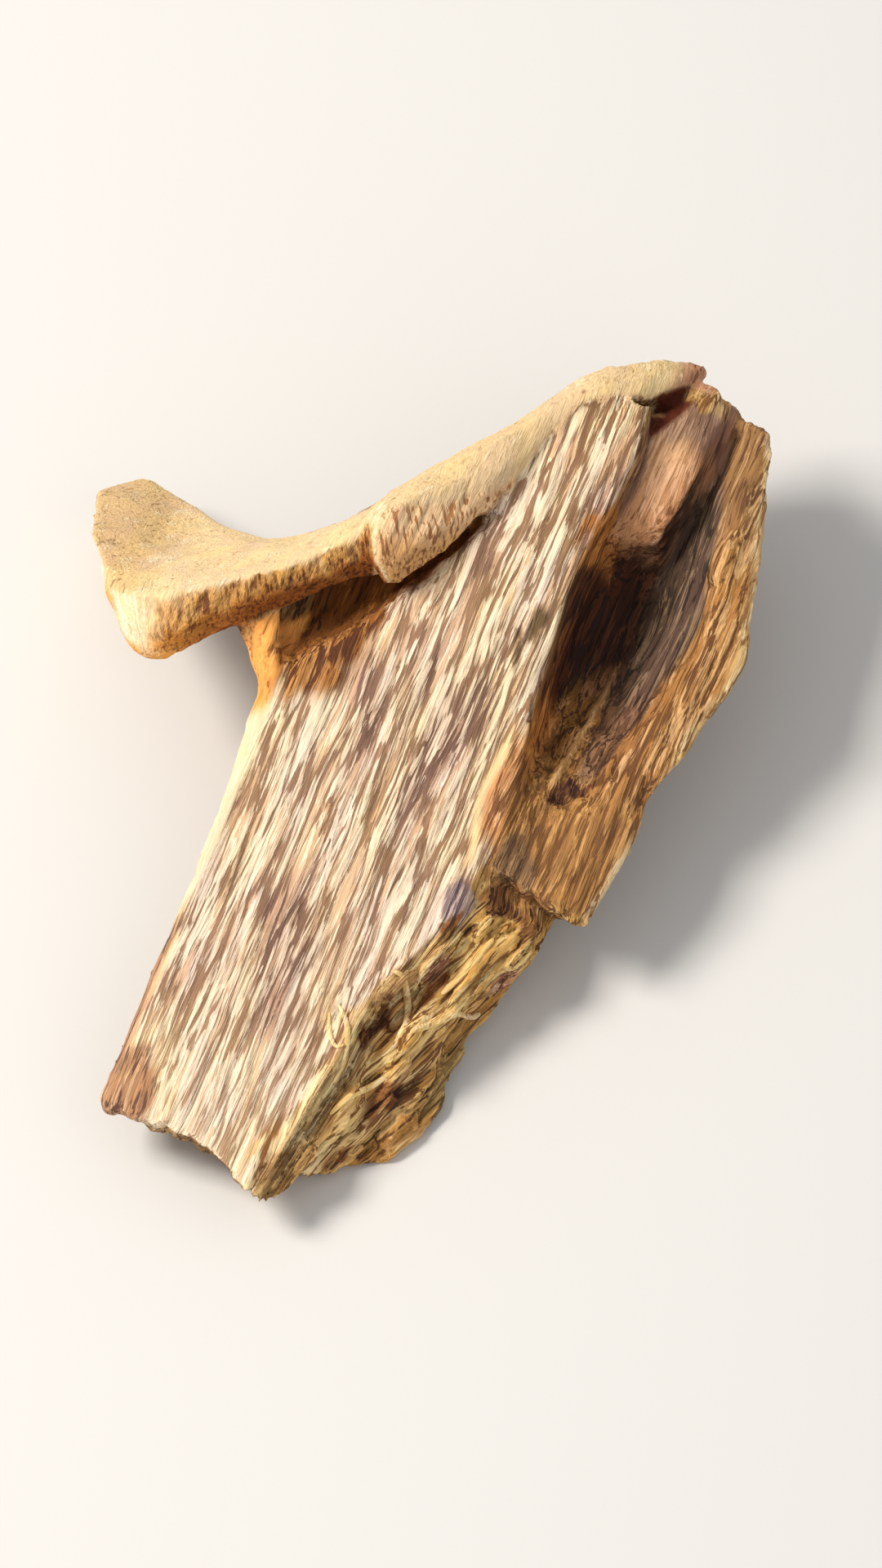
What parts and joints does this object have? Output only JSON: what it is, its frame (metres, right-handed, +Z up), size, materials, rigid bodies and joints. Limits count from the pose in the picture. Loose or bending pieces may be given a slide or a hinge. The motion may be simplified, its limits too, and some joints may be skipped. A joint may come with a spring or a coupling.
{
  "type": "agarwood piece",
  "caption": "Broken piece of streaked agarwood with a pale hooked strap across its top end and a deep trough in the wing along its side.",
  "frame": {"origin": "on the surface the piece lies on, under the middle of its bounding box", "axes": "+Z up as it rests, +Y along the grain of the streaked face towards the end with the strap, +X across the grain towards the wing with the trough"},
  "size_m": [0.0766, 0.1096, 0.0288],
  "materials": {
    "agarwood": "raw, dry, rough"
  },
  "bodies": {
    "root": {"agarwood_piece": "agarwood"}
  },
  "joints": []
}
